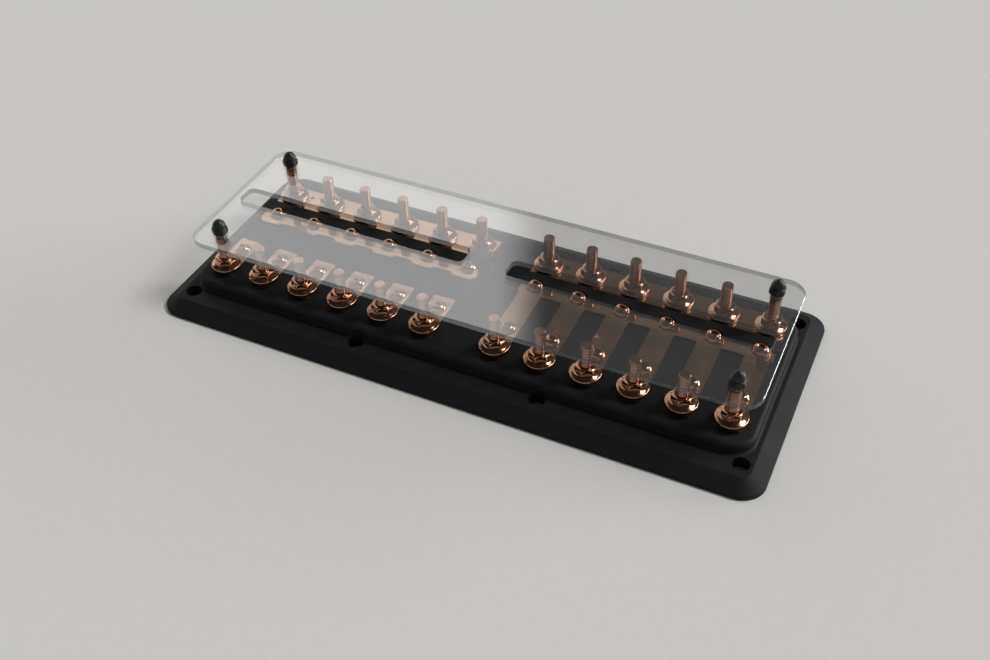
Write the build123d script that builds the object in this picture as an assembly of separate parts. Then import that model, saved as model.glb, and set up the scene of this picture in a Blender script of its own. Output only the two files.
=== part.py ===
from build123d import *
import math
import os

# Twelve-way fuse box: a moulded base with two copper buses, a row of cable studs along each
# long side, two rows of fuse screws between them, and a clear cover held by four cap nuts.
# Origin at the centre of the base's underside, X along the rows, +Y to the back, +Z up.
# Millimetres throughout.

# Circuits: two groups side by side
circuits_per_group = 6
circuit_pitch = 20.0
group_gap = 32.7            # between the inner studs of the two groups
stud_row_spacing = 58.4
screw_setback = 13.0        # front studs to front fuse screws
fuse_bolt_spacing = 30.0    # front fuse screws to back fuse screws

# Moulded base
platform_end_reach = 11.15  # platform beyond the end studs
platform_side_reach = 11.8  # platform beyond the stud rows
platform_corner = 9.5
platform_height = 10.5
platform_edge_round = 1.8
platform_foot_round = 1.2
flange_end_reach = 9.0      # flange beyond the platform's ends
flange_side_reach = 16.0    # flange beyond the platform's sides
flange_corner = 10.0
flange_height = 5.5
lip_height = 1.8
bevel_run = 6.5
bevel_least_corner = 0.5    # corner of the bevel's crest, at least
crest_round = 1.0           # between the bevel and the flange's top
lip_round = 0.6             # between the bevel and the lip
core_wall = 3.0             # walls left round the underside's coring
deck_thickness = 3.4
rib_thickness = 2.0
end_hole_inset = 11.3       # fixing holes, from the flange's end edges
side_hole_inset = 13.1      # fixing holes, from the flange's side edges
fixing_hole_diameter = 7.2
bridge_height = 0.8         # moulded bridge over each bus, above the copper
bridge_start = 43.9         # bridge's front face behind the front studs
bridge_width = 7.3
bridge_notch_gap = 0.4      # radial, bridge round the screw heads
edge_margin = 0.01          # how far off a height an edge may lie and still be found

# Copper
copper_thickness = 1.5
strap_width = 10.3
front_plate_nose = 4.5      # copper in front of the front studs
front_plate_tail = 7.4      # front plates behind the fuse screws
pad_reach = 7.3             # pads in front of the back fuse screws
spine_reach = 5.5           # spine in front of the back fuse screws
bus_back_reach = 7.8        # copper behind the back studs
bus_end_reach = 6.3         # copper beyond the end studs
copper_corner = 1.0
stud_clearance = 0.25       # radial, copper round the studs
screw_clearance = 0.25      # radial, copper round the fuse screws
sense_hole_diameter = 2.0
sense_hole_step = 8.2       # from a group's first back stud, along the row
sense_hole_back = 2.7       # behind the back studs

# Cable studs, pressed in from below, and their flange nuts
stud_diameter = 4.9
stud_top = 28.3
stud_tip_chamfer = 0.4
stud_head_flats = 8.0
stud_head_thickness = 3.5
stud_head_inset = 0.4       # heads above the underside
head_pocket_clearance = 0.1
boss_wall = 1.6
nut_flats = 8.0
nut_height = 5.7
nut_flange_diameter = 13.5
nut_flange_thickness = 2.4
nut_flange_round = 0.9
nut_flange_rise = 0.5       # slope of the flange's top up to the hexagon
nut_rim_fall = 0.6          # share of the round on the flank, and the lead's slope
nut_rim_reach = 0.5         # share of the round on the top
nut_lead_inset = 0.25       # top of the hexagon inside its flats
nut_thread_play = 0.03      # radial, nut bore round the stud

# Fuse screws and their brass inserts
screw_diameter = 3.9
screw_head_diameter = 7.6
screw_head_height = 2.2
screw_head_rim = 0.35       # upright edge of the head
screw_dome_mid = 0.78       # middle of the dome, as a share of the head's radius
screw_dome_lift = 0.62      # and of the dome's rise
screw_dome_flat = 0.42      # flat top, as a share of the head's radius
screw_socket_flats = 2.5
screw_socket_depth = 1.3
screw_tip = 3.2             # screw ends above the underside
screw_tip_gap = 0.5
insert_diameter = 6.0
insert_length = 6.4
insert_play = 0.03          # radial, insert bore round the screw

# Clear cover and cap nuts
cover_end_reach = 11.15     # cover beyond the end studs
cover_side_reach = 10.6     # cover beyond the stud rows
cover_corner = 8.8
cover_thickness = 2.5
cover_seat = 28.4           # cover's underside, on the shoulders of the corner studs
cover_edge_chamfer = 0.25
slot_end_wall = 4.45        # cover left beyond the outer end of each window
slot_middle_wall = 19.3     # cover left between the two windows
slot_width = 11.0
slot_corner = 3.0
spigot_diameter = 3.9
spigot_length = 6.6         # above the shoulder
spigot_hole_play = 0.2      # radial, cover hole round the spigot
cap_flats = 6.9
cap_hex_height = 2.9
cap_height = 6.9
cap_dome_diameter = 6.6
cap_shoulder = 0.6          # straight part of the crown above the hexagon
cap_tip_radius = 0.3
cap_hex_lead = 0.3          # chamfer under the hexagon's corners
cap_hex_slope = 0.5         # chamfer over the hexagon's corners
cap_crown_mid = 0.76        # middle of the crown's curve, as a share of its radius
cap_crown_lift = 0.66       # and of its rise
cap_thread_play = 0.03      # radial, cap bore round the spigot
cap_end_play = 0.4          # cap bore beyond the spigot's end

# Places worked out from the sizes above
group_span = (circuits_per_group - 1) * circuit_pitch
inner_x = group_gap / 2
end_x = inner_x + group_span
group_centre = inner_x + group_span / 2
left_xs = [-end_x + i * circuit_pitch for i in range(circuits_per_group)]
right_xs = [inner_x + i * circuit_pitch for i in range(circuits_per_group)]
stud_xs = left_xs + right_xs
front_y = -stud_row_spacing / 2
back_y = stud_row_spacing / 2
front_screw_y = front_y + screw_setback
back_screw_y = front_screw_y + fuse_bolt_spacing
bridge_front = front_y + bridge_start
bridge_back = bridge_front + bridge_width
copper_top = platform_height + copper_thickness
platform_length = 2 * (end_x + platform_end_reach)
platform_width = stud_row_spacing + 2 * platform_side_reach
flange_length = platform_length + 2 * flange_end_reach
flange_width = platform_width + 2 * flange_side_reach
cover_length = 2 * (end_x + cover_end_reach)
cover_width = stud_row_spacing + 2 * cover_side_reach
slot_length = cover_length / 2 - slot_end_wall - slot_middle_wall / 2
slot_centre = (slot_middle_wall + slot_length) / 2
sense_hole_y = back_y + sense_hole_back
head_seat = stud_head_inset + stud_head_thickness
fixing_xs = flange_length / 2 - end_hole_inset
fixing_y = flange_width / 2 - side_hole_inset
hex_across_corners = 2 / math.sqrt(3)
bus_back = back_y + bus_back_reach

os.makedirs("parts", exist_ok=True)


def box(x0, x1, y0, y1, z0, z1):
    """A block between two corners."""
    block = Box(x1 - x0, y1 - y0, z1 - z0)
    return Pos((x0 + x1) / 2, (y0 + y1) / 2, (z0 + z1) / 2) * block


def rod(diameter, z0, z1, x=0.0, y=0.0):
    """A round bar standing at x, y between two heights."""
    return Pos(x, y, (z0 + z1) / 2) * Cylinder(diameter / 2, z1 - z0)


def slab(length, width, corner, z0, z1):
    """A plate with rounded corners, centred on the origin."""
    return Pos(0, 0, z0) * extrude(RectangleRounded(length, width, corner), z1 - z0)


def hexagon_bar(flats, z0, z1):
    """A hexagonal bar with two flats square to X."""
    outline = RegularPolygon(flats / 2, 6, major_radius=False, rotation=30)
    return Pos(0, 0, z0) * extrude(outline, z1 - z0)


def turned(points):
    """A solid turned about Z from (radius, height) points joined by straight lines."""
    outline = Polyline(*[(r, 0, z) for r, z in points], close=True)
    return revolve(make_face(outline), Axis.Z)


def at_each(piece, xs, y):
    """One copy of a piece at each x along a row."""
    return [Pos(x, y, 0) * piece for x in xs]


def cropped(body, envelope):
    """The one solid that two solids share."""
    return body.intersect(envelope)[0]


def edges_at(body, height):
    """A body's level edges at a height."""
    return body.edges().filter_by_position(Axis.Z, height - edge_margin, height + edge_margin)


def base_blank():
    """Lip, bevelled flange and raised platform, solid below, with moulded rounds."""
    bevel_corner = max(flange_corner - bevel_run, bevel_least_corner)
    lip = slab(flange_length, flange_width, flange_corner, 0, lip_height)
    foot = Pos(0, 0, lip_height) * RectangleRounded(flange_length, flange_width, flange_corner)
    crest = Pos(0, 0, flange_height) * RectangleRounded(
        flange_length - 2 * bevel_run, flange_width - 2 * bevel_run, bevel_corner)
    bevel = loft([foot, crest])
    platform = slab(platform_length, platform_width, platform_corner, 0, platform_height)
    flange = lip.fuse(bevel)
    flange = fillet(edges_at(flange, flange_height), crest_round)
    flange = fillet(edges_at(flange, lip_height), lip_round)
    blank = flange.fuse(platform)
    blank = fillet(edges_at(blank, platform_height), platform_edge_round)
    inside_x = platform_length / 2 + edge_margin
    inside_y = platform_width / 2 + edge_margin
    foot_edges = [edge for edge in edges_at(blank, flange_height)
                  if abs(edge.center().X) < inside_x and abs(edge.center().Y) < inside_y]
    return fillet(foot_edges, platform_foot_round)


def base_part():
    """The moulding: cored from below, with bosses for every stud, insert and fixing hole."""
    body = base_blank()
    deck_floor = platform_height - deck_thickness
    core_length = platform_length - 2 * core_wall
    core_width = platform_width - 2 * core_wall
    core = slab(core_length, core_width, platform_corner - core_wall, 0, deck_floor)
    body = body.cut(core)

    # Bosses and cross ribs stand in the coring, down to the underside
    head_pocket_flats = stud_head_flats + 2 * head_pocket_clearance
    stud_boss = head_pocket_flats * hex_across_corners + 2 * boss_wall
    insert_boss = insert_diameter + 2 * boss_wall
    supports = []
    for y, diameter in ((front_y, stud_boss), (back_y, stud_boss),
                        (front_screw_y, insert_boss), (back_screw_y, insert_boss)):
        supports += [rod(diameter, 0, deck_floor, x, y) for x in stud_xs]
        supports.append(box(-core_length / 2, core_length / 2,
                            y - rib_thickness / 2, y + rib_thickness / 2, 0, deck_floor))
    for x in stud_xs:
        supports.append(box(x - rib_thickness / 2, x + rib_thickness / 2,
                            -core_width / 2, core_width / 2, 0, deck_floor))
    body = body.fuse(*supports)

    # The bridges join the deck beyond the ends of each bus
    bridge_length = group_span + 2 * (bus_end_reach + core_wall)
    bridge_top = copper_top + bridge_height
    bridges = [
        box(centre - bridge_length / 2, centre + bridge_length / 2,
            bridge_front, bridge_back, platform_height, bridge_top)
        for centre in (-group_centre, group_centre)
    ]
    tunnels = [
        box(centre - group_span / 2 - bus_end_reach, centre + group_span / 2 + bus_end_reach,
            bridge_front, bridge_back, platform_height, copper_top)
        for centre in (-group_centre, group_centre)
    ]
    notch = rod(screw_head_diameter + 2 * bridge_notch_gap, copper_top, bridge_top)
    notches = at_each(notch, stud_xs, back_screw_y)
    body = body.fuse(*bridges).cut(*tunnels, *notches)

    # Stud holes with hexagonal head pockets, insert wells and fixing holes
    pocket = hexagon_bar(head_pocket_flats, 0, head_seat)
    tools = []
    for y in (front_y, back_y):
        tools += at_each(pocket, stud_xs, y)
        tools += at_each(rod(stud_diameter, head_seat, platform_height), stud_xs, y)
    for y in (front_screw_y, back_screw_y):
        tools += at_each(rod(insert_diameter, platform_height - insert_length, platform_height), stud_xs, y)
        well = rod(screw_diameter + 2 * screw_clearance, screw_tip - screw_tip_gap, platform_height)
        tools += at_each(well, stud_xs, y)
    through = rod(fixing_hole_diameter, 0, platform_height)
    for y in (-fixing_y, fixing_y):
        tools += at_each(through, [-fixing_xs, -fixing_xs / 3, fixing_xs / 3, fixing_xs], y)
    return body.cut(*tools)


def copper_holes(xs, ys, diameter):
    """Clearance holes through a copper plate."""
    return [rod(diameter, platform_height, copper_top, x, y) for x in xs for y in ys]


def strap(x, y0, y1):
    """A straight piece of copper one strap wide, with slightly rounded corners."""
    outline = RectangleRounded(strap_width, y1 - y0, copper_corner)
    return Pos(x, (y0 + y1) / 2, platform_height) * extrude(outline, copper_thickness)


def front_plate(x):
    """The output plate of one fused circuit, from its cable stud to its fuse screw."""
    plate = strap(x, front_y - front_plate_nose, front_screw_y + front_plate_tail)
    stud_hole = copper_holes([x], [front_y], stud_diameter + 2 * stud_clearance)
    screw_hole = copper_holes([x], [front_screw_y], screw_diameter + 2 * screw_clearance)
    return plate.cut(*stud_hole, *screw_hole)


def bus(xs, teeth_front):
    """A one-piece bus: a wide plate under the back studs and screws with a tooth to each circuit."""
    x0 = xs[0] - bus_end_reach
    x1 = xs[-1] + bus_end_reach
    spine = box(x0, x1, back_screw_y - spine_reach, bus_back, platform_height, copper_top)
    spine = fillet(spine.edges().filter_by(Axis.Z), copper_corner)
    teeth = [strap(x, teeth_front, back_screw_y + copper_corner) for x in xs]
    plate = spine.fuse(*teeth)
    holes = copper_holes(xs, [back_y], stud_diameter + 2 * stud_clearance)
    holes += copper_holes(xs, [back_screw_y], screw_diameter + 2 * screw_clearance)
    holes += copper_holes([xs[0] + sense_hole_step], [sense_hole_y], sense_hole_diameter)
    return plate, holes


def bus_plate_left():
    """The fused group's bus: its teeth end as short pads under the fuses' far ends."""
    plate, holes = bus(left_xs, back_screw_y - pad_reach)
    return plate.cut(*holes)


def bus_comb_right():
    """The unfused group's bus: its teeth run right across to the front cable studs."""
    plate, holes = bus(right_xs, front_y - front_plate_nose)
    holes += copper_holes(right_xs, [front_y], stud_diameter + 2 * stud_clearance)
    holes += copper_holes(right_xs, [front_screw_y], screw_diameter + 2 * screw_clearance)
    return plate.cut(*holes)


def cable_stud():
    """A hexagon-headed bolt, head down in the base, with a chamfered tip."""
    radius = stud_diameter / 2
    shank = turned([(0, head_seat), (radius, head_seat), (radius, stud_top - stud_tip_chamfer),
                    (radius - stud_tip_chamfer, stud_top), (0, stud_top)])
    return hexagon_bar(stud_head_flats, stud_head_inset, head_seat).fuse(shank)


def corner_stud():
    """As a cable stud up to the cover, where it steps down to a thinner spigot."""
    radius = stud_diameter / 2
    spigot = spigot_diameter / 2
    tip = cover_seat + spigot_length
    shank = turned([(0, head_seat), (radius, head_seat), (radius, cover_seat), (spigot, cover_seat),
                    (spigot, tip - stud_tip_chamfer), (spigot - stud_tip_chamfer, tip), (0, tip)])
    return hexagon_bar(stud_head_flats, stud_head_inset, head_seat).fuse(shank)


def flange_nut():
    """A flange nut: a chamfered hexagon on a round flange with a rolled rim."""
    flange_top = copper_top + nut_flange_thickness
    top = copper_top + nut_height
    corner = nut_flats * hex_across_corners / 2
    inner = nut_flats / 2 - nut_lead_inset
    lead = (corner - inner) * nut_rim_fall
    hexagon = hexagon_bar(nut_flats, copper_top, top)
    envelope = turned([(0, copper_top), (corner, copper_top), (corner, top - lead), (inner, top), (0, top)])
    radius = nut_flange_diameter / 2
    crest = flange_top + nut_flange_rise
    flange = turned([(0, copper_top), (radius - nut_flange_round, copper_top),
                     (radius, copper_top + nut_flange_round),
                     (radius, flange_top - nut_flange_round * nut_rim_fall),
                     (radius - nut_flange_round * nut_rim_reach, flange_top),
                     (nut_flats / 2, crest), (0, crest)])
    bore = rod(stud_diameter + 2 * nut_thread_play, copper_top, top)
    return cropped(hexagon, envelope).fuse(flange).cut(bore)


def fuse_screw():
    """A button-headed socket screw that clamps one end of a fuse."""
    head_radius = screw_head_diameter / 2
    rim = copper_top + screw_head_rim
    head_top = copper_top + screw_head_height
    arc_start = (head_radius, 0, rim)
    arc_mid = (head_radius * screw_dome_mid, 0, rim + (head_top - rim) * screw_dome_lift)
    arc_end = (head_radius * screw_dome_flat, 0, head_top)
    dome = ThreePointArc(arc_start, arc_mid, arc_end)
    sides = Polyline(arc_end, (0, 0, head_top), (0, 0, screw_tip), (screw_diameter / 2, 0, screw_tip),
                     (screw_diameter / 2, 0, copper_top), (head_radius, 0, copper_top), arc_start)
    body = revolve(make_face([dome, sides]), Axis.Z)
    return body.cut(hexagon_bar(screw_socket_flats, head_top - screw_socket_depth, head_top))


def insert():
    """A brass threaded insert, flush with the deck."""
    floor = platform_height - insert_length
    bush = rod(insert_diameter, floor, platform_height)
    return bush.cut(rod(screw_diameter + 2 * insert_play, floor, platform_height))


def cover_part():
    """The clear sheet: two long windows for the fuses and four spigot holes."""
    top = cover_seat + cover_thickness
    sheet = slab(cover_length, cover_width, cover_corner, cover_seat, top)
    sheet = chamfer(edges_at(sheet, top) + edges_at(sheet, cover_seat), cover_edge_chamfer)
    window = slab(slot_length, slot_width, slot_corner, cover_seat, top)
    hole = rod(spigot_diameter + 2 * spigot_hole_play, cover_seat, top)
    tools = [Pos(x, 0, 0) * window for x in (-slot_centre, slot_centre)]
    tools += [Pos(x, y, 0) * hole for x in (-end_x, end_x) for y in (front_y, back_y)]
    return sheet.cut(*tools)


def cap_nut(x, y):
    """A dome nut on a corner spigot: hexagon skirt, domed crown, blind bore."""
    seat = cover_seat + cover_thickness
    skirt = seat + cap_hex_height
    crown = seat + cap_height
    corner = cap_flats * hex_across_corners / 2
    envelope = turned([(0, seat), (corner - cap_hex_lead, seat), (corner, seat + cap_hex_lead),
                       (corner, skirt - cap_hex_slope), (corner - cap_hex_slope, skirt), (0, skirt)])
    hexagon = cropped(hexagon_bar(cap_flats, seat, skirt), envelope)
    radius = cap_dome_diameter / 2
    bore = spigot_diameter / 2 + cap_thread_play
    bore_end = cover_seat + spigot_length + cap_end_play
    shoulder = skirt + cap_shoulder
    middle = (radius * cap_crown_mid, 0, shoulder + (crown - shoulder) * cap_crown_lift)
    arc = ThreePointArc((radius, 0, shoulder), middle, (cap_tip_radius, 0, crown))
    sides = Polyline((cap_tip_radius, 0, crown), (0, 0, crown), (0, 0, bore_end), (bore, 0, bore_end),
                     (bore, 0, skirt), (radius, 0, skirt), (radius, 0, shoulder))
    dome = revolve(make_face([arc, sides]), Axis.Z)
    return Pos(x, y, 0) * hexagon.cut(rod(2 * bore, seat, skirt)).fuse(dome)


def group(solids):
    """Like pieces kept as separate solids in one file."""
    return Compound(children=[solid for solid in solids])


corner_places = [(-end_x, front_y), (end_x, front_y), (end_x, back_y), (-end_x, back_y)]
inner_studs = stud_xs[1:-1]

nodes = {
    "base": base_part(),
    "cover": cover_part(),
    "bus_plate_left": bus_plate_left(),
    "bus_comb_right": bus_comb_right(),
    "front_studs": group(at_each(cable_stud(), inner_studs, front_y)),
    "back_studs": group(at_each(cable_stud(), inner_studs, back_y)),
    "corner_studs": group([Pos(x, y, 0) * corner_stud() for x, y in corner_places]),
    "flange_nuts_front": group(at_each(flange_nut(), stud_xs, front_y)),
    "flange_nuts_back": group(at_each(flange_nut(), stud_xs, back_y)),
    "fuse_screws_front": group(at_each(fuse_screw(), stud_xs, front_screw_y)),
    "fuse_screws_back": group(at_each(fuse_screw(), stud_xs, back_screw_y)),
    "inserts_front": group(at_each(insert(), stud_xs, front_screw_y)),
    "inserts_back": group(at_each(insert(), stud_xs, back_screw_y)),
}
for number, x in enumerate(left_xs, start=1):
    nodes[f"front_plate_{number}"] = front_plate(x)
for number, (x, y) in enumerate(corner_places, start=1):
    nodes[f"cap_nut_{number}"] = cap_nut(x, y)

for name, shape in nodes.items():
    export_step(shape, f"parts/{name}.step")
    print(name, round(shape.volume, 1))
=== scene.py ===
# Fuse box: a black moulded base with two rows of copper terminals under a clear cover.
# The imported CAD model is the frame. The base, the copper, the inserts and the cover keep their CAD
# shapes and get their finishes here. The studs, nuts, screws and caps are worked out again with their
# threads, sockets and softened corners. Sizes are in millimetres, and mm turns them to metres.
import math

import bpy
import numpy as np
from mathutils import Matrix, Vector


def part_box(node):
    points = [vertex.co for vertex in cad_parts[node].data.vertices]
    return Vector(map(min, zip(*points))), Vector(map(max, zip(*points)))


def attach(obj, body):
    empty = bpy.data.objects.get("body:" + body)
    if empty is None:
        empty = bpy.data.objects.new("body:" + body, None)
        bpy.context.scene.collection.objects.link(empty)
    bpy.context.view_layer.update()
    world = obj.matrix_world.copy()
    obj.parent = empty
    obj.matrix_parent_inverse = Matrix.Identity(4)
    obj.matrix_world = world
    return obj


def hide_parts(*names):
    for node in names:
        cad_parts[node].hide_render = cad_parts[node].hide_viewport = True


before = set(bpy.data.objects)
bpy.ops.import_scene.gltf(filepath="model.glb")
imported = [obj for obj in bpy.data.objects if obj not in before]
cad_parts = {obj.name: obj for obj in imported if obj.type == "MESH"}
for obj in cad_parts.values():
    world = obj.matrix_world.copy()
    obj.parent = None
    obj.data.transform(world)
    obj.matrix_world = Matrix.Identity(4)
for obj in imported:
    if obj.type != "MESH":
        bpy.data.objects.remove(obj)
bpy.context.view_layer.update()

# Base: one injection moulding in black glass-filled nylon, a bevelled flange with eight fixing holes
# and a raised platform. The mould was spark-eroded, so the skin is an even satin with a fine grain,
# drawn at 0.4 mm because the real 0.1 mm is too fine to show.
mm = 0.001


def linear(code):
    """An sRGB colour such as "#1a1b1d" as linear red, green, blue and alpha"""
    parts = np.array([int(code[first:first + 2], 16) for first in (1, 3, 5)]) / 255
    light = np.where(parts > 0.04045, ((parts + 0.055) / 1.055) ** 2.4, parts / 12.92)
    return (*light, 1.0)


def cells(size):
    """A noise's scale in cells per metre, for a pattern of this size"""
    return 1 / (size * mm)


def add(tree, kind, settings=None, **sockets):
    """Adds a node; settings are its properties, sockets its inputs, a value each or the output that
    drives it. A socket's name is written with _ for a space, or as i0, i1... for its place"""
    node = tree.nodes.new(kind)
    for name, value in (settings or {}).items():
        setattr(node, name, value)
    for name, value in sockets.items():
        key = int(name[1:]) if name[0] == "i" and name[1:].isdigit() else name.replace("_", " ")
        if isinstance(value, bpy.types.NodeSocket):
            tree.links.new(value, node.inputs[key])
        else:
            node.inputs[key].default_value = value
    return node


def new_material(name):
    """An empty node material, and its tree"""
    material = bpy.data.materials.new(name)
    material.use_nodes = True
    material.node_tree.nodes.clear()
    return material, material.node_tree


def dress(node_name, material):
    """Gives a CAD node its finish"""
    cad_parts[node_name].data.materials[0] = material


nylon, tree = new_material("spark_eroded_black_nylon")
place = add(tree, "ShaderNodeTexCoord").outputs["Object"]
grain = add(tree, "ShaderNodeTexNoise", Vector=place, Scale=cells(0.385), Detail=2.0, Roughness=0.6)
patches = add(tree, "ShaderNodeTexNoise", Vector=place, Scale=cells(22.2), Detail=3.0, Roughness=0.55)
sheen = add(tree, "ShaderNodeMapRange", Value=patches.outputs["Fac"], i1=0.3, i2=0.7, i3=0.58, i4=0.68)
shade = add(tree, "ShaderNodeMix", {"data_type": "RGBA"}, Factor=grain.outputs["Fac"],
            A=linear("#18191b"), B=linear("#212224"))
relief = add(tree, "ShaderNodeBump", Height=grain.outputs["Fac"], Strength=0.12, Distance=0.06 * mm)
skin = add(tree, "ShaderNodeBsdfPrincipled", Base_Color=shade.outputs["Result"], IOR=1.53,
           Roughness=sheen.outputs["Result"], Normal=relief.outputs["Normal"], Specular_IOR_Level=0.13)
add(tree, "ShaderNodeOutputMaterial", Surface=skin.outputs["BSDF"])
dress("base", nylon)

# Copper: the two buses and the six output plates, punched from 1.5 mm rolled sheet and left bare.
# Rolling leaves a face smooth enough to mirror the studs, with fine lines along the strip, and the
# air has browned it in patches. The thin brown film makes it a little less than a full metal.
copper, tree = new_material("rolled_bare_copper")
place = add(tree, "ShaderNodeTexCoord").outputs["Object"]
strip = add(tree, "ShaderNodeMapping", Vector=place, Scale=(cells(16.7), cells(0.417), cells(16.7)))
lines = add(tree, "ShaderNodeTexNoise", Vector=strip.outputs["Vector"], Scale=1.0, Detail=2.0)
tarnish = add(tree, "ShaderNodeTexNoise", Vector=place, Scale=cells(14.3), Detail=4.0, Roughness=0.6)
age = add(tree, "ShaderNodeMapRange", Value=tarnish.outputs["Fac"], i1=0.35, i2=0.7)
shade = add(tree, "ShaderNodeMix", {"data_type": "RGBA"}, Factor=age.outputs["Result"],
            A=linear("#b8977c"), B=linear("#aa876b"))
gloss = add(tree, "ShaderNodeMapRange", Value=lines.outputs["Fac"], i1=0.3, i2=0.7, i3=0.035, i4=0.07)
relief = add(tree, "ShaderNodeBump", Height=lines.outputs["Fac"], Strength=0.05, Distance=0.01 * mm)
skin = add(tree, "ShaderNodeBsdfPrincipled", Base_Color=shade.outputs["Result"], Metallic=0.9,
           Roughness=gloss.outputs["Result"], Normal=relief.outputs["Normal"])
add(tree, "ShaderNodeOutputMaterial", Surface=skin.outputs["BSDF"])
plate_names = [f"front_plate_{number}" for number in range(1, 7)]
for node_name in ["bus_plate_left", "bus_comb_right"] + plate_names:
    dress(node_name, copper)

# Inserts: knurled brass bushes set flush in the deck under the copper, one for each fuse screw.
# They show only when the copper is off, so they keep their plain CAD shape.
brass, tree = new_material("turned_brass")
place = add(tree, "ShaderNodeTexCoord").outputs["Object"]
marks = add(tree, "ShaderNodeTexNoise", Vector=place, Scale=cells(1.11), Detail=2.0)
gloss = add(tree, "ShaderNodeMapRange", Value=marks.outputs["Fac"], i3=0.25, i4=0.4)
skin = add(tree, "ShaderNodeBsdfPrincipled", Base_Color=linear("#d9b465"), Metallic=1.0,
           Roughness=gloss.outputs["Result"])
add(tree, "ShaderNodeOutputMaterial", Surface=skin.outputs["BSDF"])
dress("inserts_front", brass)
dress("inserts_back", brass)

# Studs: copper-plated M5 bolts, pushed up through the base with the hexagon head in a pocket below.
# The thread is rolled and shallow, with rounded crests, and the tip has a small chamfer. The plating
# is bright and a little uneven, in patches of a few millimetres.


def span(node_name):
    """A CAD node's lowest and highest corners at rest, rounded to a thousandth"""
    return np.round(np.array(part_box(node_name)) / mm, 3)


# The left circuits lie on the output plates' middles, and the right ones mirror them
left_circuits = np.array([span(name)[:, 0].mean() for name in plate_names])
circuits = np.concatenate([left_circuits, -left_circuits[::-1]])
stud_row = span("back_studs")[:, 1].mean()
copper_top = span(plate_names[0])[1, 2]

# The turns around a piece, closest together at a hexagon's corners
corner_steps = np.radians([-25, -17, -9, -4.5, -1.5, 1.5, 4.5, 9, 17, 25])
turns = (np.radians(30 + 60 * np.arange(6))[:, None] + corner_steps).ravel()


def hexagon(across, sharpness=70.0):
    """Radius of a hexagon with softened corners at each turn: the p-norm of the distances to its
    flats, 1 / (sum over the flats of (cos(turn - flat) / apothem)^p)^(1/p), corners on +-Y"""
    flats = np.radians(60 * np.arange(6))
    reach = np.clip(np.cos(turns[:, None] - flats), 0, None) / (across / 2)
    return (reach ** sharpness).sum(1) ** (-1 / sharpness)


def rings(profile, across=None):
    """Rings up a turned piece: profile holds (radius, height) rows, and where across is given a ring
    reaches the smaller of its radius and the hexagon. Gives an array rows x turns x 3"""
    radius, height = np.asarray(profile, float).T
    reach = np.repeat(radius[:, None], len(turns), 1)
    if across:
        reach = np.minimum(reach, hexagon(across))
    return np.stack([reach * np.cos(turns), reach * np.sin(turns),
                     np.repeat(height[:, None], len(turns), 1)], 2)


def thread_rows(radius, low, high, pitch, rows_per_turn=6):
    """The (radius, height) rows of a bar that a thread is cut into"""
    return [(radius, height) for height in np.arange(low, high, pitch / rows_per_turn)]


def threaded(piece, low, high, pitch, depth):
    """Cuts a thread into the rings between two heights: the radius drops by depth x (1 - cos a) / 2
    with a = 360 degrees x height / pitch - turn, and the cut fades out over half a pitch"""
    height = piece[:, :, 2]
    fade = np.clip(np.minimum(height - low, high - height) / (pitch / 2), 0, 1)
    wave = (1 - np.cos(2 * np.pi * height / pitch - turns)) / 2
    radius = np.hypot(piece[:, :, 0], piece[:, :, 1])
    piece[:, :, :2] *= (1 - depth * fade * wave / radius)[:, :, None]
    return piece


def shell(name, piece, places, looped=False, sharp_from=32.0):
    """One mesh of a ringed piece copied to each place, with edges over so many degrees left sharp.
    Ring follows ring in quads, and the last turn joins the first. A looped piece joins its last ring
    to its first, and any other ends in two centres"""
    rows, sides = piece.shape[:2]
    ring = np.arange(rows if looped else rows - 1)[:, None]
    turn = np.arange(sides)[None]
    ring_up, turn_on = (ring + 1) % rows, (turn + 1) % sides
    quads = np.stack([ring * sides + turn, ring * sides + turn_on,
                      ring_up * sides + turn_on, ring_up * sides + turn], 2).reshape(-1, 4)
    points = piece.reshape(-1, 3)
    fans = np.empty((0, 3), int)
    if not looped:
        points = np.vstack([points, piece[0].mean(0), piece[-1].mean(0)])
        first_centre, last_centre, last_ring = len(points) - 2, len(points) - 1, (rows - 1) * sides
        turn, turn_on = turn.ravel(), turn_on.ravel()
        fans = np.vstack([
            np.stack([turn_on, turn, np.full(sides, first_centre)], 1),
            np.stack([last_ring + turn, last_ring + turn_on, np.full(sides, last_centre)], 1)])
    spots = np.array([(x, y, 0.0) for x, y in places])
    verts = (points[None] + spots[:, None]).reshape(-1, 3) * mm
    jump = np.arange(len(spots))[:, None, None] * len(points)
    faces = (quads[None] + jump).reshape(-1, 4).tolist() + (fans[None] + jump).reshape(-1, 3).tolist()
    mesh = bpy.data.meshes.new(name)
    mesh.from_pydata(verts, [], faces)
    mesh.shade_smooth()
    mesh.set_sharp_from_angle(angle=math.radians(sharp_from))
    made = bpy.data.objects.new(name, mesh)
    bpy.context.scene.collection.objects.link(made)
    return made


def fit(made, material, node_name, body):
    """Sets a finished piece in place of its CAD node, with its finish and body"""
    made.data.materials.append(material)
    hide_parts(node_name)
    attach(made, body)


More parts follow.
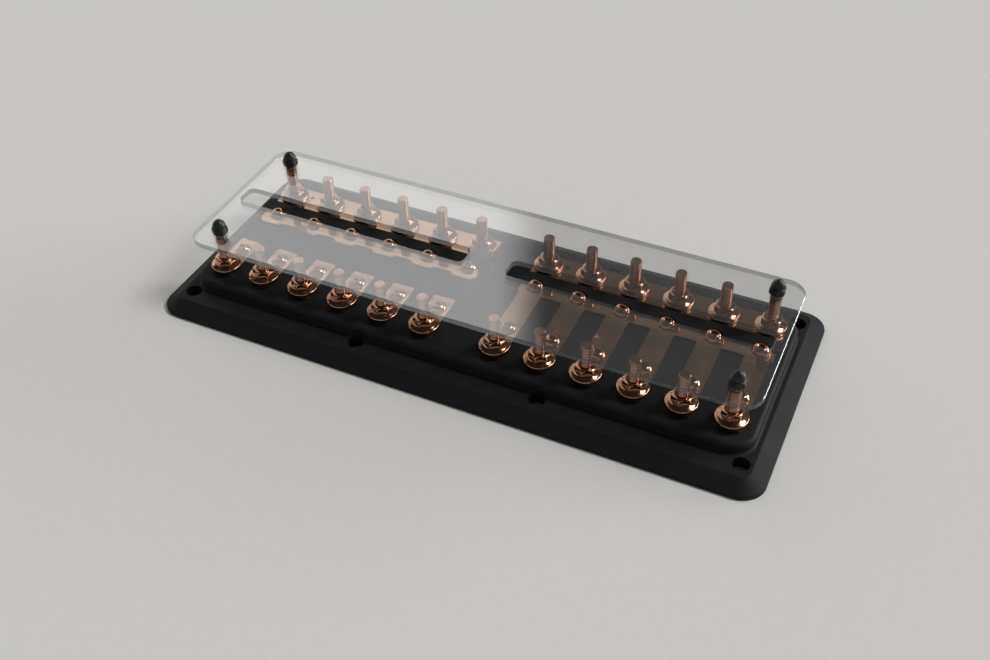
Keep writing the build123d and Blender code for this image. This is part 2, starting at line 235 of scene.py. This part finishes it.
plated, tree = new_material("copper_plated_steel")
place = add(tree, "ShaderNodeTexCoord").outputs["Object"]
wear = add(tree, "ShaderNodeTexNoise", Vector=place, Scale=cells(2.63), Detail=3.0, Roughness=0.6)
age = add(tree, "ShaderNodeMapRange", Value=wear.outputs["Fac"], i1=0.3, i2=0.7)
shade = add(tree, "ShaderNodeMix", {"data_type": "RGBA"}, Factor=age.outputs["Result"],
            A=linear("#c9a187"), B=linear("#a67c64"))
gloss = add(tree, "ShaderNodeMapRange", Value=wear.outputs["Fac"], i1=0.3, i2=0.7, i3=0.1, i4=0.17)
skin = add(tree, "ShaderNodeBsdfPrincipled", Base_Color=shade.outputs["Result"], Metallic=1.0,
           Roughness=gloss.outputs["Result"])
add(tree, "ShaderNodeOutputMaterial", Surface=skin.outputs["BSDF"])

head_flats, head_face, head_corner, head_chamfer, head_top = 8.0, 3.9, 4.6, 0.35, 3.9
stud_radius, tip_chamfer, thread_pitch, thread_depth = 2.5, 0.3, 0.8, 0.1
head_low, stud_top = span("back_studs")[:, 2]
thread_start = copper_top + 4       # inside the nut
head = rings([(head_face, head_low), (head_corner, head_low + head_chamfer), (head_corner, head_top)],
             head_flats)
shank = [(stud_radius, head_top)]
shank += thread_rows(stud_radius, thread_start, stud_top - tip_chamfer, thread_pitch)
shank += [(stud_radius, stud_top - tip_chamfer), (stud_radius - tip_chamfer, stud_top)]
cable_stud = np.concatenate([head, threaded(rings(shank), thread_start, stud_top,
                                            thread_pitch, thread_depth)])
for side, y in (("front", -stud_row), ("back", stud_row)):
    studs = shell(f"{side}_studs_threaded", cable_stud, [(x, y) for x in circuits[1:-1]])
    fit(studs, plated, f"{side}_studs", "housing")

# Corner studs: the four end studs run on past the cover as a thinner threaded spigot. The cover rests
# on the step between the two, and a cap nut holds it down.
spigot_radius, spigot_pitch, spigot_depth, spigot_neck = 1.95, 0.7, 0.2, 0.1
cover_seat, spigot_top = span("cover")[0, 2], span("corner_studs")[1, 2]
shank = [(stud_radius, head_top), *thread_rows(stud_radius, thread_start, cover_seat, thread_pitch),
         (stud_radius, cover_seat)]
spigot = [(spigot_radius, cover_seat)]
spigot += thread_rows(spigot_radius, cover_seat + spigot_neck, spigot_top - tip_chamfer, spigot_pitch)
spigot += [(spigot_radius, spigot_top - tip_chamfer), (spigot_radius - tip_chamfer, spigot_top)]
corner_stud = np.concatenate([
    head, threaded(rings(shank), thread_start, cover_seat, thread_pitch, thread_depth),
    threaded(rings(spigot), cover_seat, spigot_top, spigot_pitch, spigot_depth)])
corners = [(x, y) for x in circuits[[0, -1]] for y in (-stud_row, stud_row)]
fit(shell("corner_studs_threaded", corner_stud, corners), plated, "corner_studs", "housing")

# Flange nuts: one on each stud, forged in one with a broad round flange. Over the flange's round rim
# a shallow cone climbs to the hexagon, whose corners are turned back at the top, and both ends of the
# bore are countersunk.
nut_flats, bore, countersink, rim_foot = 8.0, 2.52, 0.35, 0.3
flange_radius, flank_top, cone_foot, rim_round = 6.65, copper_top + 1.5, copper_top + 1.95, 0.4
nut_top = span("flange_nuts_back")[1, 2]
quarter = np.linspace(0, np.pi / 2, 7)

# The rim is a quarter-ellipse: the radius falls with 1 - cos of the angle, the height rises with sin
rim = [(flange_radius - 0.4, copper_top), (flange_radius - 0.1, copper_top + 0.1),
       (flange_radius, copper_top + rim_foot)]
rim += [(flange_radius - rim_round * (1 - math.cos(angle)),
         flank_top + (cone_foot - flank_top) * math.sin(angle)) for angle in quarter]
cone = [(5.5, copper_top + 2.38), (4.75, copper_top + 2.76)]
body = [(4.68, copper_top + 2.85), (4.7, nut_top - 0.55), (4.4, nut_top - 0.33), (4.1, nut_top - 0.14),
        (3.8, nut_top)]
inside = [(bore + countersink, nut_top), (bore, nut_top - countersink), (bore, copper_top + 0.4),
          (bore + 0.4, copper_top)]
nut = np.concatenate([rings(rim + cone), rings(body, nut_flats), rings(inside)])
for side, y in (("front", -stud_row), ("back", stud_row)):
    nuts = shell(f"{side}_flange_nuts", nut, [(x, y) for x in circuits], looped=True)
    fit(nuts, plated, f"flange_nuts_{side}", "housing")

# Fuse screws: button-headed socket screws down into the inserts. Their domes are smooth, and the
# hexagon socket has a small countersink.
head_radius, head_edge, edge_break, dome_flat = 3.8, 0.35, 0.12, 1.72
mouth_radius, mouth_depth, socket_flats, socket_depth = 1.42, 0.14, 2.5, 1.3
screw_radius, screw_point = 1.95, 0.4
screw_tip, screw_top = span("fuse_screws_back")[:, 2]
below = [(screw_radius - screw_point, screw_tip), (screw_radius, screw_tip + screw_point),
         (screw_radius, copper_top), (head_radius - edge_break, copper_top),
         (head_radius, copper_top + edge_break), (head_radius, copper_top + head_edge)]

# The dome's radius shrinks evenly to the flat, and its height rises with the sine, a little fuller
dome_low = copper_top + head_edge
dome = [(head_radius - (head_radius - dome_flat) * part,
         dome_low + (screw_top - dome_low) * math.sin(math.pi / 2 * part) ** 0.9)
        for part in np.linspace(0, 1, 9)[1:]]

# The socket's walls are given a radius past the hexagon's corners, so the hexagon alone shapes them
walls = [(socket_flats, screw_top - mouth_depth), (socket_flats, screw_top - socket_depth)]
screw = np.concatenate([rings(below + dome + [(mouth_radius, screw_top)]), rings(walls, socket_flats)])
for side in ("front", "back"):
    screw_row = span(f"fuse_screws_{side}")[:, 1].mean()
    screws = shell(f"{side}_fuse_screws", screw, [(x, screw_row) for x in circuits])
    fit(screws, plated, f"fuse_screws_{side}", "housing")

# Cover: one sheet of clear cast acrylic, cut to a rounded rectangle with two long windows. Its faces
# mirror the sky, more so at a glancing view, its sawn edge is frosted, and a trace of that haze lies on
# the faces too. It throws only a faint shadow.
acrylic, tree = new_material("clear_cast_acrylic")
facing = add(tree, "ShaderNodeLayerWeight", Blend=0.5).outputs["Facing"]
glancing = add(tree, "ShaderNodeMath", {"operation": "POWER"}, i0=facing, i1=4.4).outputs["Value"]
share = add(tree, "ShaderNodeMapRange", Value=glancing, i3=0.15, i4=1.0).outputs["Result"]
through = add(tree, "ShaderNodeBsdfTransparent", Color=linear("#fbfbfb"))
mirror = add(tree, "ShaderNodeBsdfAnisotropic", Color=(1, 1, 1, 1), Roughness=0.03)
clear = add(tree, "ShaderNodeMixShader", i0=share, i1=through.outputs["BSDF"], i2=mirror.outputs["BSDF"])
normal = add(tree, "ShaderNodeSeparateXYZ", Vector=add(tree, "ShaderNodeNewGeometry").outputs["Normal"])
level = add(tree, "ShaderNodeMath", {"operation": "ABSOLUTE"}, i0=normal.outputs["Z"]).outputs["Value"]
sawn = add(tree, "ShaderNodeMapRange", Value=level, i1=0.6, i2=0.9, i3=1.0, i4=0.02).outputs["Result"]
frosted = add(tree, "ShaderNodeBsdfPrincipled", Base_Color=linear("#686d70"), Roughness=0.4, Alpha=0.5)
whole = add(tree, "ShaderNodeMixShader", i0=sawn, i1=clear.outputs["Shader"], i2=frosted.outputs["BSDF"])
add(tree, "ShaderNodeOutputMaterial", Surface=whole.outputs["Shader"])
dress("cover", acrylic)

# Cap nuts: black nylon dome nuts, one on each corner spigot, turned by hand to free the cover. A
# hexagon skirt, a groove, and a bullet-shaped crown over the blind thread. The moulded skin is a
# semi-gloss with a fine grain, drawn coarser than the real one.
cap_nylon, tree = new_material("moulded_black_cap")
place = add(tree, "ShaderNodeTexCoord").outputs["Object"]
grain = add(tree, "ShaderNodeTexNoise", Vector=place, Scale=cells(0.556), Detail=2.0)
gloss = add(tree, "ShaderNodeMapRange", Value=grain.outputs["Fac"], i3=0.38, i4=0.5)
shade = add(tree, "ShaderNodeMix", {"data_type": "RGBA"}, Factor=grain.outputs["Fac"],
            A=linear("#141516"), B=linear("#222324"))
skin = add(tree, "ShaderNodeBsdfPrincipled", Base_Color=shade.outputs["Result"],
           Roughness=gloss.outputs["Result"], IOR=1.53, Specular_IOR_Level=0.35)
add(tree, "ShaderNodeOutputMaterial", Surface=skin.outputs["BSDF"])

cap_flats, skirt_height, groove_radius, dome_radius, dome_tip = 6.3, 2.9, 2.85, 2.95, 0.2
cap_bore, bore_chamfer, end_play = 1.98, 0.3, 0.4
cap_seat, crown = span("cover")[1, 2], span("cap_nut_1")[1, 2]
skirt_top = cap_seat + skirt_height
crown_low = skirt_top + 0.6
hollow = [(0.4, spigot_top + end_play), (cap_bore, spigot_top + end_play),
          (cap_bore, cap_seat + bore_chamfer), (cap_bore + bore_chamfer, cap_seat)]
skirt = [(3.2, cap_seat), (3.6, cap_seat + 0.3), (3.6, skirt_top - 0.45), (3.4, skirt_top - 0.15),
         (3.1, skirt_top)]
groove = [(groove_radius, skirt_top + 0.1), (groove_radius, skirt_top + 0.3),
          (dome_radius, skirt_top + 0.45)]

# The crown's radius falls as (1 - part^2)^0.7 of its height and ends in a small flat
bullet = [(dome_radius * (1 - part ** 2) ** 0.7, crown_low + (crown - crown_low) * part)
          for part in np.linspace(0, 1, 16)[:-1]]
cap = np.concatenate([rings(hollow), rings(skirt, cap_flats), rings(groove + bullet + [(dome_tip, crown)])])
for number, (x, y) in enumerate([(-1, -1), (1, -1), (1, 1), (-1, 1)], 1):
    made = shell(f"cap_nut_{number}_domed", cap, [(x * circuits[-1], y * stud_row)])
    fit(made, cap_nylon, f"cap_nut_{number}", f"cap_nut_{number}")

# Floor, light and camera: a pale matt sheet that runs out of sight, a dim room with a bright horizon
# and five soft panels, and the photograph's viewpoint. The sheet and the viewpoint are in metres.
paper, tree = new_material("pale_matt_paper")
place = add(tree, "ShaderNodeTexCoord").outputs["Object"]
fibre = add(tree, "ShaderNodeTexNoise", Vector=place, Scale=cells(4.55), Detail=3.0)
shade = add(tree, "ShaderNodeMix", {"data_type": "RGBA"}, Factor=fibre.outputs["Fac"],
            A=linear("#dcdad6"), B=linear("#e2e0dc"))
skin = add(tree, "ShaderNodeBsdfPrincipled", Base_Color=shade.outputs["Result"], Roughness=0.8,
           Specular_IOR_Level=0.2)
add(tree, "ShaderNodeOutputMaterial", Surface=skin.outputs["BSDF"])
mesh = bpy.data.meshes.new("floor")
half = 6.0
mesh.from_pydata([(-half, -half, 0), (half, -half, 0), (half, half, 0), (-half, half, 0)], [],
                 [(0, 1, 2, 3)])
mesh.materials.append(paper)
floor = bpy.data.objects.new("floor", mesh)
bpy.context.scene.collection.objects.link(floor)

# The room is the world's own light
world = bpy.data.worlds.new("studio")
bpy.context.scene.world = world
world.use_nodes = True
tree = world.node_tree
tree.nodes.clear()
heading = add(tree, "ShaderNodeTexCoord").outputs["Generated"]
axes = add(tree, "ShaderNodeSeparateXYZ", Vector=heading)


def panel(right, left, low, high, soft):
    """A soft-edged panel in the sky, between two headings (degrees left of straight back) and two
    heights (degrees): the product of four smooth steps on the sky direction's distance to each edge"""
    edges = []
    for angle, side in ((right, 1), (left, -1)):
        turn = math.radians(angle)
        inward = (-side * math.cos(turn), -side * math.sin(turn), 0)
        across = add(tree, "ShaderNodeVectorMath", {"operation": "DOT_PRODUCT"}, i0=heading, i1=inward)
        edges.append((across.outputs["Value"], -soft, soft))
    for angle, side in ((low, 1), (high, -1)):
        edge = math.sin(math.radians(angle))
        edges.append((axes.outputs["Z"], edge - side * soft, edge + side * soft))
    mask = 1.0
    for distance, outside, inside in edges:
        step = add(tree, "ShaderNodeMapRange", {"interpolation_type": "SMOOTHSTEP"}, Value=distance,
                   i1=outside, i2=inside).outputs["Result"]
        mask = add(tree, "ShaderNodeMath", {"operation": "MULTIPLY"}, i0=mask, i1=step).outputs["Value"]
    return mask


# The room is dim, and lighter towards the back, where the cover mirrors it
room = add(tree, "ShaderNodeMapRange", Value=axes.outputs["Y"], i1=0.3, i2=0.62, i3=0.035, i4=0.105)
horizon = add(tree, "ShaderNodeMapRange", {"interpolation_type": "SMOOTHSTEP"}, Value=axes.outputs["Z"],
              i1=0.01, i2=0.12, i3=0.5, i4=0.0)
lit = add(tree, "ShaderNodeMath", i0=room.outputs["Result"], i1=horizon.outputs["Result"]).outputs["Value"]

# Each panel's right, left, low and high edge, its softness and its strength: a large panel behind on
# the left, a small strong lamp and a low one behind on the right, a weak panel on the left, and a
# faint one all along the front
for *edges, strength in ((23.2, 64.0, 3.0, 60.0, 0.025, 0.95),
                         (-68.0, -43.0, 38.0, 58.0, 0.04, 21.0),
                         (-64.0, -34.0, 1.0, 14.0, 0.03, 15.0),
                         (66.0, 100.0, 2.0, 30.0, 0.05, 1.3),
                         (115.0, 245.0, 8.0, 38.0, 0.08, 0.3)):
    lit = add(tree, "ShaderNodeMath", {"operation": "MULTIPLY_ADD"}, i0=panel(*edges), i1=strength,
              i2=lit).outputs["Value"]
sky = add(tree, "ShaderNodeBackground", Color=(1, 1, 1, 1), Strength=lit)
add(tree, "ShaderNodeOutputWorld", Surface=sky.outputs["Background"])

camera = bpy.data.cameras.new("camera")
camera.lens, camera.sensor_width = 42.898, 36.0
camera.shift_x, camera.shift_y = 0.0317, -0.0130
camera.clip_start, camera.clip_end = 0.01, 50.0
viewpoint = Matrix.Translation((0.16731, -0.35530, 0.34188))
azimuth, elevation, roll = (math.radians(angle) for angle in (26.808, 41.064, -1.774))
view = bpy.data.objects.new("camera", camera)
view.matrix_world = (viewpoint @ Matrix.Rotation(azimuth, 4, "Z")
                     @ Matrix.Rotation(math.pi / 2 - elevation, 4, "X") @ Matrix.Rotation(roll, 4, "Z"))
bpy.context.scene.collection.objects.link(view)
bpy.context.scene.camera = view
bpy.context.scene.view_settings.view_transform = "Standard"
